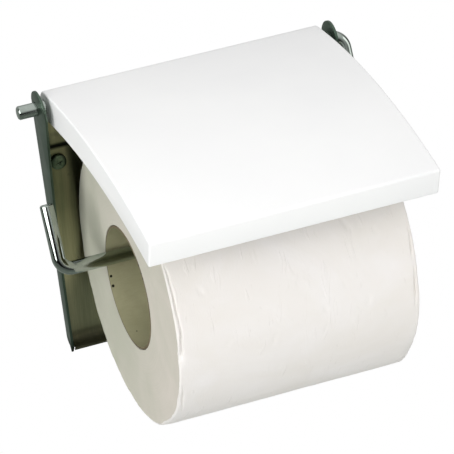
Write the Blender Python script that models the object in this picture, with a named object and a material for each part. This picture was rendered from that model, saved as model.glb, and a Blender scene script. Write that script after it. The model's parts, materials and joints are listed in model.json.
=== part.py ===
"""Wall toilet paper holder: a pressed steel plate, a bent wire hanger, a curved lid board and a paper roll.

Metres, +Z up, +Y into the wall and +X to the right as seen from the room.
The origin is the centre of the plate's flat back, which lies on the wall.
Profiles are drawn in (forward, up) from the hinge axis, the centre line of the wire's top leg:
forward points away from the wall.
"""
import math

import bmesh
import bpy
from mathutils import Matrix, Vector

MM = 0.001
GAP = 0.3 * MM                      # between pieces that touch

# Hinge axis
AXIS_DEPTH = 6.4 * MM               # wall to axis
AXIS_HEIGHT = 59.0 * MM             # origin to axis

# Wall plate
SHEET = 1.0 * MM
PLATE_TOP_HALF_WIDTH = 60.6 * MM    # at the axis
PLATE_FOOT_HALF_WIDTH = 54.5 * MM
PLATE_DROP = 113.5 * MM             # axis to the underside of the foot
WEB_TOP_DROP = 9.0 * MM
FLANGE_DEPTH_AT_FOOT = 6.6 * MM
FLANGE_DEPTH_GAIN = 10.6 * MM       # extra depth at the axis
FLANGE_TIP_DROP = 1.5 * MM          # below the foot
FLANGE_TIP_BACK = 1.5 * MM          # behind the foot's lip
FOOT_BEND = 4.5 * MM                # outer radius
EAR_RADIUS = 8.0 * MM
EAR_CENTRE = Vector((3.0 * MM, 0.5 * MM))
EAR_ROOT_DROP = 4.0 * MM
EAR_REAR = 4.6 * MM                 # behind the axis
CREASE_DROP = 21.6 * MM
CREASE_HEIGHT = 2.0 * MM
CREASE_DEPTH = 0.55 * MM
FLANGE_STEPS = 10
EAR_STEPS = 14
EAR_ARC = (-18, 165)                # degrees from forward towards up

# Wall screws, drawn as far as the wall's face
SCREW_X = 52.0 * MM
SCREW_DROP = 28.5 * MM
SCREW_HOLE_RADIUS = 2.3 * MM
SCREW_HEAD_RADIUS = 3.2 * MM
SCREW_HEAD_HEIGHT = 1.5 * MM
SCREW_HEAD_EDGE = 0.4 * MM
SCREW_SHANK_RADIUS = 1.9 * MM
RECESS_LENGTH = 3.4 * MM
RECESS_WIDTH = 0.8 * MM
RECESS_DEPTH = 0.8 * MM

# Wire hanger
WIRE_RADIUS = 2.7 * MM
WIRE_BEND = 5.0 * MM                # centre line radius
PIN_END_X = -68.0 * MM
RIGHT_LEG_X = 66.3 * MM
FREE_END_X = -65.0 * MM
HANGER_DROP = 62.3 * MM             # axis to lower leg
HANGER_ANGLE = math.radians(62.2)   # below the forward direction
FREE_END_LENGTH = 25.9 * MM
WIRE_SIDES = 16
PIN_BORE_RADIUS = WIRE_RADIUS + 0.25 * MM

# Lid board: an arc that starts at the hinge axis
LID_HALF_WIDTH = 57.0 * MM
LID_HALF_THICKNESS = 6.0 * MM
LID_REACH = 111.5 * MM              # axis to the front face, along the middle of the board
LID_REAR_ANGLE = math.radians(-10)  # downward slope at the hinge
LID_FRONT_ANGLE = math.radians(13)  # downward slope at the front
LID_RADIUS = LID_REACH / (math.sin(LID_FRONT_ANGLE) - math.sin(LID_REAR_ANGLE))
LID_FRONT_FILLET = 1.0 * MM
LID_STEPS = 24
FILLET_STEPS = 5
BULLNOSE_STEPS = 12

# Paper roll
ROLL_RADIUS = 54.5 * MM
ROLL_LENGTH = 97.0 * MM
ROLL_CENTRE_X = 3.0 * MM
CORE_RADIUS = 24.2 * MM
CORE_BORE_RADIUS = 23.4 * MM
ROLL_SIDES = 72

# Cutters
LONG_DRILL = 80.0 * MM              # half length, through both ears
HOLE_DRILL = (-10.0 * MM, 20.0 * MM)
DRILL_SIDES = 32

# The roll lies against the plate and the lid lies on the roll
LID_CENTRE = Vector((-LID_RADIUS * math.sin(LID_REAR_ANGLE), -LID_RADIUS * math.cos(LID_REAR_ANGLE)))
ROLL_FORWARD = ROLL_RADIUS + GAP - (AXIS_DEPTH - SHEET)
ROLL_TO_LID_CENTRE = LID_RADIUS - LID_HALF_THICKNESS - GAP - ROLL_RADIUS
ROLL_UP = LID_CENTRE.y + math.sqrt(ROLL_TO_LID_CENTRE ** 2 - (ROLL_FORWARD - LID_CENTRE.x) ** 2)


def clear_scene():
    for obj in list(bpy.data.objects):
        bpy.data.objects.remove(obj, do_unlink=True)


def material(name, colour, roughness, metallic=0.0):
    mat = bpy.data.materials.new(name)
    mat.use_nodes = True
    shader = mat.node_tree.nodes["Principled BSDF"]
    shader.inputs["Base Color"].default_value = (*colour, 1.0)
    shader.inputs["Roughness"].default_value = roughness
    shader.inputs["Metallic"].default_value = metallic
    return mat


def add_object(name, bm, mat, parent=None, smooth=False):
    """A named object from a bmesh, under the given empty."""
    bmesh.ops.recalc_face_normals(bm, faces=bm.faces)
    mesh = bpy.data.meshes.new(name)
    bm.to_mesh(mesh)
    bm.free()
    if smooth:
        mesh.shade_smooth()
        mesh.set_sharp_from_angle(angle=math.radians(35))
    obj = bpy.data.objects.new(name, mesh)
    obj.data.materials.append(mat)
    obj.parent = parent
    bpy.context.scene.collection.objects.link(obj)
    return obj


def add_empty(name, location, parent=None):
    empty = bpy.data.objects.new(name, None)
    empty.location = location
    empty.parent = parent
    empty.empty_display_size = 0.02
    bpy.context.scene.collection.objects.link(empty)
    return empty


def helper(obj):
    """Marks a cutter or a piece that a union takes in."""
    obj.hide_render = True
    obj.display_type = "WIRE"
    return obj


def boolean(obj, tool, operation):
    mod = obj.modifiers.new(operation.lower(), "BOOLEAN")
    mod.operation = operation
    mod.solver = "EXACT"
    mod.object = helper(tool)


def arc(centre, radius, start, end, steps):
    """Points on an arc, angles in degrees from forward towards up."""
    points = []
    for i in range(steps + 1):
        angle = math.radians(start + (end - start) * i / steps)
        points.append(centre + radius * Vector((math.cos(angle), math.sin(angle))))
    return points


def slab(outline, x_low, x_high):
    """Closes a (forward, up) outline between two x positions, each a function of up."""
    bm = bmesh.new()
    ends = []
    for x_at in (x_low, x_high):
        ends.append([bm.verts.new((x_at(up), -forward, up)) for forward, up in outline])
    bm.faces.new(ends[0])
    bm.faces.new(ends[1])
    count = len(outline)
    for i in range(count):
        j = (i + 1) % count
        bm.faces.new((ends[0][i], ends[0][j], ends[1][j], ends[1][i]))
    return bm


def box(size, centre):
    bm = bmesh.new()
    bmesh.ops.create_cube(bm, size=1.0, matrix=Matrix.Translation(centre) @ Matrix.Diagonal((*size, 1.0)))
    return bm


def turned(profile, sides, axis):
    """Turns a closed (along, radius) profile about the X or Y axis."""
    bm = bmesh.new()
    rings = []
    for along, radius in profile:
        ring = []
        for i in range(1 if radius == 0 else sides):
            angle = 2 * math.pi * i / sides
            a, b = radius * math.cos(angle), radius * math.sin(angle)
            ring.append(bm.verts.new((along, a, b) if axis == "X" else (a, along, b)))
        rings.append(ring)
    for k, ring in enumerate(rings):
        following = rings[(k + 1) % len(rings)]
        for i in range(sides):
            j = (i + 1) % sides
            corners = [ring[i % len(ring)], ring[j % len(ring)],
                       following[j % len(following)], following[i % len(following)]]
            corners = list(dict.fromkeys(corners))
            if len(corners) > 2:
                bm.faces.new(corners)
    return bm


def drill(radius, start, end, axis):
    return turned([(start, 0), (start, radius), (end, radius), (end, 0)], DRILL_SIDES, axis)


# --- Wall plate ---------------------------------------------------------------------------------

def half_width(up):
    """Outer half width of the plate, which narrows towards its foot."""
    return PLATE_TOP_HALF_WIDTH + (PLATE_TOP_HALF_WIDTH - PLATE_FOOT_HALF_WIDTH) * up / PLATE_DROP


def flange_front(up):
    """Forward position of a side flange's front edge, deeper towards the ear."""
    rise = 1 + up / PLATE_DROP
    return FLANGE_DEPTH_AT_FOOT + FLANGE_DEPTH_GAIN * rise ** 2 - AXIS_DEPTH


def foot_curve(radius, steps=5):
    """The foot's bend, from the web towards the room."""
    centre = Vector((FOOT_BEND - AXIS_DEPTH, FOOT_BEND - PLATE_DROP))
    return arc(centre, radius, 180, 270, steps)


def flange_outline():
    """A side flange with its rounded ear, from the rear of the ear down to the foot and up the front."""
    front_of_foot = FLANGE_DEPTH_AT_FOOT - AXIS_DEPTH
    outline = [Vector((-EAR_REAR, 0)), Vector((-AXIS_DEPTH, -WEB_TOP_DROP))]
    outline += foot_curve(FOOT_BEND)
    outline.append(Vector((front_of_foot - FLANGE_TIP_BACK, -PLATE_DROP - FLANGE_TIP_DROP)))
    foot_top = -PLATE_DROP + SHEET
    for i in range(FLANGE_STEPS + 1):
        up = foot_top + (-EAR_ROOT_DROP - foot_top) * i / FLANGE_STEPS
        outline.append(Vector((flange_front(up), up)))
    outline += arc(EAR_CENTRE, EAR_RADIUS, *EAR_ARC, EAR_STEPS)
    return outline


def web_outline():
    """The plate's back with its rolled foot."""
    lip = FLANGE_DEPTH_AT_FOOT - AXIS_DEPTH
    outline = [Vector((SHEET - AXIS_DEPTH, -WEB_TOP_DROP)), Vector((-AXIS_DEPTH, -WEB_TOP_DROP))]
    outline += foot_curve(FOOT_BEND)
    outline += [Vector((lip, -PLATE_DROP)), Vector((lip, SHEET - PLATE_DROP))]
    outline += reversed(foot_curve(FOOT_BEND - SHEET))
    return outline


def build_plate(hinge, steel):
    def mid_sheet(up):
        return half_width(up) - SHEET / 2

    web = slab(web_outline(), lambda up: -mid_sheet(up), mid_sheet)
    plate = add_object("wall_plate", web, steel, hinge)
    for side, name in ((-1, "left"), (1, "right")):
        def outer_face(up):
            return side * half_width(up)

        def inner_face(up):
            return side * (half_width(up) - SHEET)

        flange = slab(flange_outline(), outer_face, inner_face)
        boolean(plate, add_object(name + "_flange", flange, steel, hinge), "UNION")
    pin_bore = drill(PIN_BORE_RADIUS, -LONG_DRILL, LONG_DRILL, "X")
    boolean(plate, add_object("ear_bores", pin_bore, steel, hinge), "DIFFERENCE")
    for side, name in ((-1, "left"), (1, "right")):
        cutter = add_object(name + "_screw_hole", drill(SCREW_HOLE_RADIUS, *HOLE_DRILL, "Y"), steel, hinge)
        cutter.location = (side * SCREW_X, 0, -SCREW_DROP)
        boolean(plate, cutter, "DIFFERENCE")
    web_front = AXIS_DEPTH - SHEET
    crease = box((2 * (half_width(-CREASE_DROP) - 2 * SHEET), 2 * CREASE_DEPTH, CREASE_HEIGHT),
                 (0, web_front, -CREASE_DROP))
    boolean(plate, add_object("crease", crease, steel, hinge), "DIFFERENCE")


# --- Wall screws --------------------------------------------------------------------------------

def cross_bar(centre_y):
    """The cross-shaped cutter for a screw head's recess."""
    long, short = RECESS_LENGTH / 2, RECESS_WIDTH / 2
    quarter = [Vector((long, short)), Vector((short, short)), Vector((short, long))]
    turns = [Matrix.Rotation(math.radians(90 * k), 2) for k in range(4)]
    outline = [turn @ corner for turn in turns for corner in quarter]
    bm = bmesh.new()
    ends = [[bm.verts.new((x, centre_y + y, z)) for x, z in outline] for y in (-RECESS_DEPTH, RECESS_DEPTH)]
    bm.faces.new(ends[0])
    bm.faces.new(ends[1])
    for i in range(len(outline)):
        j = (i + 1) % len(outline)
        bm.faces.new((ends[0][i], ends[0][j], ends[1][j], ends[1][i]))
    return bm


def build_screws(hinge, steel):
    head_back = -SHEET - GAP
    head_front = head_back - SCREW_HEAD_HEIGHT
    profile = [(head_front, 0), (head_front, SCREW_HEAD_RADIUS - SCREW_HEAD_EDGE),
               (head_front + SCREW_HEAD_EDGE, SCREW_HEAD_RADIUS), (head_back, SCREW_HEAD_RADIUS),
               (head_back, SCREW_SHANK_RADIUS), (-GAP, SCREW_SHANK_RADIUS), (-GAP, 0)]
    for side, name in ((-1, "left"), (1, "right")):
        place = add_empty(name + "_screw_axis", (side * SCREW_X, AXIS_DEPTH, -SCREW_DROP), hinge)
        screw = add_object("wall_screw_" + name, turned(profile, 24, "Y"), steel, place, smooth=True)
        boolean(screw, add_object("recess", cross_bar(head_front), steel, place), "DIFFERENCE")


# --- Wire hanger --------------------------------------------------------------------------------

def rounded_path(corners, radius, steps=6):
    """A route through the corners with an arc at each inner one. All turns are right angles."""
    path = [corners[0]]
    for before, corner, after in zip(corners, corners[1:], corners[2:]):
        back = (before - corner).normalized()
        on = (after - corner).normalized()
        centre = corner + radius * (back + on)
        for i in range(steps + 1):
            turn = math.pi / 2 * i / steps
            path.append(centre - radius * (on * math.cos(turn) + back * math.sin(turn)))
    path.append(corners[-1])
    return path


def build_hanger(hinge, chrome):
    down = Vector((0, -math.cos(HANGER_ANGLE), -math.sin(HANGER_ANGLE)))
    corners = [Vector((PIN_END_X, 0, 0)),
               Vector((RIGHT_LEG_X, 0, 0)),
               Vector((RIGHT_LEG_X, 0, 0)) + HANGER_DROP * down,
               Vector((FREE_END_X, 0, 0)) + HANGER_DROP * down,
               Vector((FREE_END_X, 0, 0)) + (HANGER_DROP - FREE_END_LENGTH) * down]
    path = rounded_path(corners, WIRE_BEND)
    across = down.cross(Vector((1, 0, 0)))
    bm = bmesh.new()
    rings = []
    for i, point in enumerate(path):
        ahead = path[min(i + 1, len(path) - 1)] - point
        behind = point - path[max(i - 1, 0)]
        tangent = (ahead.normalized() + behind.normalized()).normalized()
        outward = tangent.cross(across)
        ring = []
        for k in range(WIRE_SIDES):
            angle = 2 * math.pi * k / WIRE_SIDES
            around = outward * math.cos(angle) + across * math.sin(angle)
            ring.append(bm.verts.new(point + WIRE_RADIUS * around))
        rings.append(ring)
    for ring, following in zip(rings, rings[1:]):
        for k in range(WIRE_SIDES):
            j = (k + 1) % WIRE_SIDES
            bm.faces.new((ring[k], ring[j], following[j], following[k]))
    bm.faces.new(rings[0])
    bm.faces.new(rings[-1])
    add_object("wire_hanger", bm, chrome, hinge, smooth=True)


# --- Lid ----------------------------------------------------------------------------------------

def lid_point(angle, offset):
    """A point of the board: its slope there and the distance above its middle surface."""
    return LID_CENTRE + (LID_RADIUS + offset) * Vector((math.sin(angle), math.cos(angle)))


def lid_outline():
    """The board's section: a round rear edge about the hinge axis and a softened front face."""
    fillet_angle = LID_FRONT_FILLET / LID_RADIUS
    span = LID_FRONT_ANGLE - LID_REAR_ANGLE - fillet_angle
    slopes = [LID_REAR_ANGLE + span * i / LID_STEPS for i in range(LID_STEPS + 1)]
    slope = math.degrees(LID_FRONT_ANGLE)
    fillet_offset = LID_HALF_THICKNESS - LID_FRONT_FILLET
    front = slopes[-1]
    outline = [lid_point(a, LID_HALF_THICKNESS) for a in slopes]
    outline += arc(lid_point(front, fillet_offset), LID_FRONT_FILLET, 90 - slope, -slope, FILLET_STEPS)[1:]
    lower = lid_point(front, -fillet_offset)
    outline += arc(lower, LID_FRONT_FILLET, -slope, -90 - slope, FILLET_STEPS)[:-1]
    outline += [lid_point(a, -LID_HALF_THICKNESS) for a in reversed(slopes)]
    rear = math.degrees(LID_REAR_ANGLE)
    outline += arc(Vector((0, 0)), LID_HALF_THICKNESS, -90 - rear, -270 - rear, BULLNOSE_STEPS)[1:-1]
    return outline


def build_lid(hinge, paint):
    board = slab(lid_outline(), lambda up: -LID_HALF_WIDTH, lambda up: LID_HALF_WIDTH)
    lid = add_object("lid", board, paint, hinge)
    bore = drill(PIN_BORE_RADIUS, -LONG_DRILL, LONG_DRILL, "X")
    boolean(lid, add_object("lid_bore", bore, paint, hinge), "DIFFERENCE")


# --- Roll ---------------------------------------------------------------------------------------

def build_roll(hinge, paper, board):
    spin = add_empty("roll_axis", (ROLL_CENTRE_X, -ROLL_FORWARD, ROLL_UP), hinge)
    half = ROLL_LENGTH / 2
    for name, outer, inner, mat in (("paper_roll", ROLL_RADIUS, CORE_RADIUS + GAP, paper),
                                    ("cardboard_core", CORE_RADIUS, CORE_BORE_RADIUS, board)):
        profile = [(-half, inner), (-half, outer), (half, outer), (half, inner)]
        add_object(name, turned(profile, ROLL_SIDES, "X"), mat, spin, smooth=True)


def main():
    clear_scene()
    steel = material("pressed_steel", (0.30, 0.31, 0.27), 0.25, 1.0)
    chrome = material("chrome_wire", (0.62, 0.64, 0.62), 0.12, 1.0)
    paint = material("white_paint", (0.93, 0.93, 0.93), 0.35)
    paper = material("tissue_paper", (0.80, 0.77, 0.73), 0.95)
    board = material("grey_cardboard", (0.36, 0.34, 0.27), 0.9)
    hinge = add_empty("hinge_axis", (0, -AXIS_DEPTH, AXIS_HEIGHT))
    build_plate(hinge, steel)
    build_screws(hinge, steel)
    build_hanger(hinge, chrome)
    build_lid(hinge, paint)
    build_roll(hinge, paper, board)


main()
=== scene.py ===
"""Looks for the wall toilet paper holder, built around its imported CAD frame.

Everything is in metres in the row frame: +X right, +Y into the wall, +Z up, origin on the wall.
Profiles are drawn in (forward, up) from the hinge axis. Tables of numbers without MM
are in millimetres and degrees.
"""
import json
import math

import bmesh
import bpy
from mathutils import Matrix, Vector, noise


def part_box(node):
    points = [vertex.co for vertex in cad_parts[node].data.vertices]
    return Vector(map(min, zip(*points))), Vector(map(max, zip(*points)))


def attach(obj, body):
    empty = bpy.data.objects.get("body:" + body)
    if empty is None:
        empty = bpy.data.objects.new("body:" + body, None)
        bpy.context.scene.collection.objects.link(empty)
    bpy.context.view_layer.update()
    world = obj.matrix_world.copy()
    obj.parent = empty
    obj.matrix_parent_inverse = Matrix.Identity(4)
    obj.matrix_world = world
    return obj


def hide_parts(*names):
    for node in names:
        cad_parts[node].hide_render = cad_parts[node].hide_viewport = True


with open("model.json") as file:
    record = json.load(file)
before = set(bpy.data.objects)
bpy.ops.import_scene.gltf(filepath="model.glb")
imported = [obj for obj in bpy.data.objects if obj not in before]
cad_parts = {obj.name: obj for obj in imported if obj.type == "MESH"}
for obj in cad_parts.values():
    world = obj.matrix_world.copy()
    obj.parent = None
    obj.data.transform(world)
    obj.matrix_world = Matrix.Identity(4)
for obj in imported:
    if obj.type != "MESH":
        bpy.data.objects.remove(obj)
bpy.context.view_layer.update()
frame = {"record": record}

MM = 0.001
JOINTS = {joint["name"]: joint for joint in frame["record"]["behaviour"]["joints"]}
HINGE = Vector(JOINTS["hanger_swing"]["pos_m"])
ROLL_AXIS = Vector(JOINTS["roll_spin"]["pos_m"])

# Sizes read from the frame
PLATE_LOW, _ = (Vector(corner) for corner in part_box("wall_plate"))
WIRE_LOW, WIRE_HIGH = (Vector(corner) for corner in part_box("wire_hanger"))
_, LID_HIGH = (Vector(corner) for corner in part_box("lid"))
ROLL_LOW, ROLL_HIGH = (Vector(corner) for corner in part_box("paper_roll"))
CORE_LOW, CORE_HIGH = (Vector(corner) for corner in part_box("cardboard_core"))
SCREW_LOW, SCREW_HIGH = (Vector(corner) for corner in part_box("wall_screw_left"))
SCREW_X = (SCREW_LOW.x + SCREW_HIGH.x) / 2
SCREW_UP = (SCREW_LOW.z + SCREW_HIGH.z) / 2

# Wall plate, as in the CAD
AXIS_DEPTH = -HINGE.y
SHEET = 1.0 * MM
TOP_HALF_WIDTH = 60.6 * MM
FOOT_HALF_WIDTH = 54.5 * MM
PLATE_DROP = 113.5 * MM
FLANGE_DEPTH_AT_FOOT = 6.6 * MM
FLANGE_DEPTH_GAIN = 10.6 * MM
FLANGE_TIP_DROP = HINGE.z - PLATE_DROP - PLATE_LOW.z
FLANGE_TIP_BACK = 1.5 * MM          # the flange's lowest point, behind the lip's front
FLANGE_STEPS = 24
FOOT_BEND = 4.5 * MM
LIP_INSET = 1.05 * MM               # side edge of the lip, clear of the flange's inner face
EAR_RADIUS = 8.0 * MM
EAR_CENTRE = Vector((3.0 * MM, 0.5 * MM))
EAR_ROOT_DROP = 4.0 * MM
EAR_REAR = 4.6 * MM
CORNER_BEND = 1.7 * MM
RIM_SOFTNESS = 0.16 * MM
CREASE_DROP = 21.2 * MM
SCREW_HOLE_RADIUS = 2.3 * MM
SCREW_HOLE_REACH = 5 * MM
BORE_RADIUS = 2.95 * MM
BORE_REACH = 80 * MM                # half length of the hinge bore's cutter, past both ears
# Rows of the web from its top edge down: distance below the axis, how far the sheet stands forward
WEB_ROWS = [(9.0, 0), (12.0, 0), (14.6, 0), (15.6, 0.2), (16.4, 0.7), (17.2, 1.0), (18.6, 1.1),
            (20.0, 1.1), (20.5, 0.9), (20.9, 0.2), (21.2, 0), (22.0, 0), (22.6, 0), (26, 0),
            (34, 0), (45, 0), (60, 0), (75, 0), (90, 0), (100, 0), (106, 0)]
# Columns of the web from each flange inwards: distance from the flange, share of the bead there
WEB_COLUMNS = [(0, 0), (2.1, 0), (2.8, 0), (3.4, 0.3), (4.4, 0.85), (5.6, 1.0)]
# Where the sheet's tint, its painted shade, painted light and painted reflection change
# painted light on the lower web below the first drop, painted shade above the second
PALE_DROPS = (80 * MM, 50 * MM)     # pale below the first, not above the second
SHADE_EDGE = (47 * MM, 53 * MM)     # shaded within the first from the middle, not past the second
CREASE_SHADOW = (0.7 * MM, 2.0 * MM)  # from the crease
CREASE_END = (57.0 * MM, 58.4 * MM)
FOOT_SHADOW = (1.5 * MM, 6 * MM)      # up from the foot
RIM_BREADTH = 1.2 * MM              # inwards from the foot's half width
RIM_DEPTH = 2.7 * MM                # in front of the wall

# Screws
SCREW_SIDES = 48
SCREW_DOME = 0.75 * MM
SCREW_DOME_STEPS = 8
DOME_CURVE = 0.96                   # share of a quarter circle's width in the dome's section
DOME_WIDTH = 0.97                   # of the head's radius
SCREW_BRIM = 0.25 * MM
SCREW_CHAMFER = 0.15 * MM
SCREW_STANDOFF = 0.3 * MM           # between the head's back and the sheet
SHANK_RADIUS = 1.9 * MM
CROSS_REACH = 1.75 * MM
CROSS_HALF_WIDTH = 0.38 * MM
CROSS_TAPER = 0.7                   # width of each arm's tip
CROSS_ENDS = ((-1 * MM, 1.25), (0.85 * MM, 0.62))   # depth below the head's front, scale there

# Wire hanger
WIRE_RADIUS = 2.7 * MM
WIRE_BEND = 5.0 * MM
WIRE_SIDES = 48
HANGER_DROP = 62.3 * MM
HANGER_ANGLE = math.radians(62.2)
FREE_END_X = -65.0 * MM
FREE_END_LENGTH = 25.9 * MM
END_CHAMFER = 0.5 * MM
END_SOFTNESS = 0.12 * MM

# Lid
LID_HALF_THICKNESS = 6.0 * MM
LID_REACH = 111.5 * MM
LID_REAR_ANGLE = math.radians(-10)
LID_FRONT_ANGLE = math.radians(13)
LID_RADIUS = LID_REACH / (math.sin(LID_FRONT_ANGLE) - math.sin(LID_REAR_ANGLE))
LID_CENTRE = Vector((-LID_RADIUS * math.sin(LID_REAR_ANGLE),
                     -LID_RADIUS * math.cos(LID_REAR_ANGLE)))
LID_FRONT_FILLET = 1.0 * MM
LID_EDGE = 0.7 * MM
LID_REAR_EDGE = 0.9 * MM
LID_STEPS = 60
LID_FILLET_STEPS = 8
LID_REAR_STEPS = 24
LID_EDGE_STEPS = 5
LID_MERGE = 0.02 * MM               # outline points closer than this are one

# Roll
ROLL_SIDES = 420
TAIL_ANGLE = math.radians(-62)      # free edge of the outer turn, under the roll, wall side
TURN_THICKNESS = 0.3 * MM
SKIN = 0.02 * MM                    # the surface lies this far inside the CAD
LEAST_SKIN = 0.01 * MM              # and at least this far where a crease raises it
RIM_ROUND = 0.45 * MM
FINE_STEP = 0.22 * MM               # mesh spacing near the rims, where the turns are folded
FINE_REACH = 5.5 * MM
COARSE_STEP = 0.9 * MM
END_STEPS = 44                      # across each end, from the bore to the rim
END_MARGIN = 0.3 * MM
CORE_GAP = 0.3 * MM
DENT = 0.25 * MM
RIPPLE = 0.12 * MM
END_DENT = 0.3 * MM
END_RIPPLE = 0.03 * MM
CREASE_GAIN = 1.5
RIDGE = 0.45                        # raised line beside each crease, as a share of its depth
RIDGE_OFFSET = 1.3                  # and its distance, in crease widths
FOLD_WOBBLE = 0.45
SEED_SPACING = 17.3                 # between the noise of one use and the next
BANDS_PER_METRE = 900.0             # of the wound turns, as seen on the roll's ends
END_LIGHT_DEPTHS = (-100 * MM, -20 * MM)     # painted light on the ends fades out between these, towards the wall
# Folded turns: side, angles in degrees, distance from the end, drift along the fold, width, depth
RIM_FOLDS = [(-1, 140, 172, 0.9, 1.0, 0.36, 0.9), (-1, 166, 180, 2.0, -1.2, 0.45, 1.05),
             (-1, 194, 212, 1.4, 0.9, 0.32, 0.75), (-1, 20, 52, 1.3, 0.8, 0.32, 0.6),
             (-1, 262, 290, 1.5, -0.7, 0.32, 0.6), (1, 150, 163, 0.9, 0.7, 0.30, 0.6),
             (1, 166, 184, 1.3, 0.9, 0.34, 0.75), (1, 40, 75, 1.4, 0.8, 0.32, 0.6),
             (1, 215, 240, 1.1, 0.6, 0.30, 0.5)]
# Pinched places of the rims: side, angle in degrees, half width of it, reach along x, depth
RIM_NOTCHES = [(-1, 179, 3.2, 1.8, 1.1), (-1, 152, 5.0, 1.4, 0.5), (-1, 203, 4.0, 1.6, 0.6),
               (-1, 226, 9.0, 1.8, 0.7), (1, 171, 4.0, 1.3, 0.6), (1, 214, 8.0, 2.2, 0.9),
               (-1, 330, 6.0, 1.6, 0.6), (1, 20, 7.0, 1.6, 0.7)]
# Creases of the outer turn: angles in degrees, x at both, width, depth
CREASES = [(178, 185, -6.2, -8.4, 0.7, 0.34), (172, 176, 13.0, 14.2, 0.8, 0.22),
           (181, 186, 14.4, 12.8, 0.8, 0.24), (137, 146, 25.0, 28.0, 1.0, 0.30),
           (140, 147, 29.5, 27.0, 0.9, 0.26), (164, 168, 22.0, 23.2, 0.8, 0.22),
           (173, 178, 31.5, 30.6, 0.9, 0.24), (146, 150, 37.0, 38.2, 0.8, 0.2),
           (152, 156, -34.0, -33.0, 0.9, 0.22), (176, 180, -24.0, -27.0, 0.9, 0.18),
           (196, 199, -5.0, -4.4, 0.9, 0.2), (300, 312, 8.0, 12.0, 1.1, 0.3),
           (75, 84, -12.0, -9.0, 1.0, 0.26), (240, 247, 22.0, 20.0, 1.0, 0.24),
           (20, 28, 17.0, 14.0, 1.0, 0.26)]

# Cardboard core
CORE_BORE = 23.4 * MM
CORE_SIDES = 160
CORE_STEPS = 70
CORE_LINING = 0.05 * MM             # the visible bore is this much wider
CORE_BEVEL = 0.12 * MM
CORE_LIP = 0.2 * MM
CORE_FUZZ = 0.03 * MM
SEAM_PITCH = 62 * MM
SEAM_WIDTH = 9 * MM
SEAM_STEP = 0.14 * MM
# Dark specks on the bore: x, angle in degrees, radius
BORE_SPECKS = [(-44.7, 340, 0.55), (-44.7, 330.5, 0.6), (-32.0, 334, 0.5), (-42.0, 279, 0.3)]
RIM_NICK_ANGLES = (141, 136, 128)
RIM_NICK_CIRCLE = 23.9 * MM
RIM_NICK_RADIUS = 0.4 * MM

# Camera: above the holder and to its left
CAMERA_TARGET = Vector((0.0016, -0.0403, 0.0076))
CAMERA_AZIMUTH = math.radians(-20.1)
CAMERA_ELEVATION = math.radians(32.44)
CAMERA_ROLL = math.radians(-3.29)
CAMERA_DISTANCE = 1.375
CAMERA_LENS = 282.5
CAMERA_SENSOR = 36.0
CAMERA_CLIP_END = 50.0

# Studio
FLOOR_HEIGHT = -1.2
FLOOR_SIZE = 8.0
NEAR_FLOOR = 0.06                   # glow of the floor below the holder
FAR_FLOOR = 0.2                     # and behind the wall
FLOOR_FADE = 0.8                    # distance between the two
CEILING = 0.86                      # strength of the reflected ceiling
CEILING_DARK = 0.05                 # and of what lies below it
BACKDROP = 0.5                      # strength of the pale backdrop behind the wall
FLAG_DARK = 0.02                    # what the dark flag on the left leaves
# Parts of a direction between which each of them fades in
CEILING_RISE = (0.1, 0.75)
FLAG_EDGE = (-0.26, -0.06)
FLAG_TOP = (0.5, 0.62)
BACKDROP_RISE = (0.3, 0.75)
LIGHT_TARGET = (0, -0.05, 0)
# Area lights: name, place, width and height, power, whether the metal reflects it
AREA_LIGHTS = [("key", (0.3, -1.65, 1.05), (1.5, 1.2), 8.5, False),
               ("left", (-1.8, -0.6, 0.7), (1.7, 1.1), 28, True),
               ("low", (0.3, -1.25, -1.05), (1.4, 0.8), 15.5, False),
               ("fill", (-1.1, -1.4, 0.0), (0.8, 0.8), 7.5, False),
               ("right", (1.7, -0.5, 0.5), (1.0, 1.2), 5, True)]


# --- Colours ------------------------------------------------------------------------------------

def rgb(red, green, blue):
    return (red, green, blue, 1.0)


WHITE = rgb(1.0, 1.0, 1.0)
# Pairs run from one tint of a varied surface to the other
SHEET_OLIVE = rgb(0.22, 0.235, 0.135), rgb(0.42, 0.4, 0.235)
# painted reflection on the flanges and their rims
SHEET_REFLECTED_TEAL = rgb(0.08, 0.125, 0.095), rgb(0.145, 0.2, 0.155)
# painted shade: the lid's and roll's shadow on the web's upper middle
SHEET_SHADE = rgb(0.06, 0.07, 0.04)
# painted light on the lower part of the web
SHEET_PAINTED_LIGHT = rgb(0.62, 0.6, 0.39)
# painted shadow in the crease under the bead and along the foot
SHEET_SHADOW = rgb(0.01, 0.012, 0.008)
SHEET_GRAIN = rgb(0.07, 0.075, 0.05)
CHROME = rgb(0.38, 0.435, 0.395), rgb(0.49, 0.535, 0.495)
SCREW_PLATING = rgb(0.12, 0.17, 0.11), rgb(0.19, 0.25, 0.165)
PAINT = rgb(0.9, 0.9, 0.9), rgb(0.925, 0.925, 0.92)
TISSUE = rgb(0.755, 0.722, 0.685), rgb(0.79, 0.763, 0.745)
# painted shade inside the small nicks of the outer turn
TISSUE_NICK_SHADE = rgb(0.5, 0.46, 0.4)
# the roll's ends, from painted shade near the wall to painted light at the front
ROLL_END = rgb(0.46, 0.47, 0.375), rgb(0.64, 0.595, 0.53)
ROLL_END_BAND = rgb(0.36, 0.34, 0.27)
BOARD = rgb(0.33, 0.32, 0.19), rgb(0.42, 0.4, 0.25)
BOARD_RIM = rgb(0.12, 0.095, 0.058), rgb(0.2, 0.165, 0.1)
BOARD_FIBRE = rgb(0.16, 0.15, 0.09)
BOARD_FLECK = rgb(0.05, 0.045, 0.03)
BOARD_SPECK = rgb(0.015, 0.015, 0.01)
FLOOR = rgb(0.13, 0.145, 0.13)
FLOOR_GLOW = rgb(0.95, 1.0, 0.95)


# --- Mesh helpers -------------------------------------------------------------------------------

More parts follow.
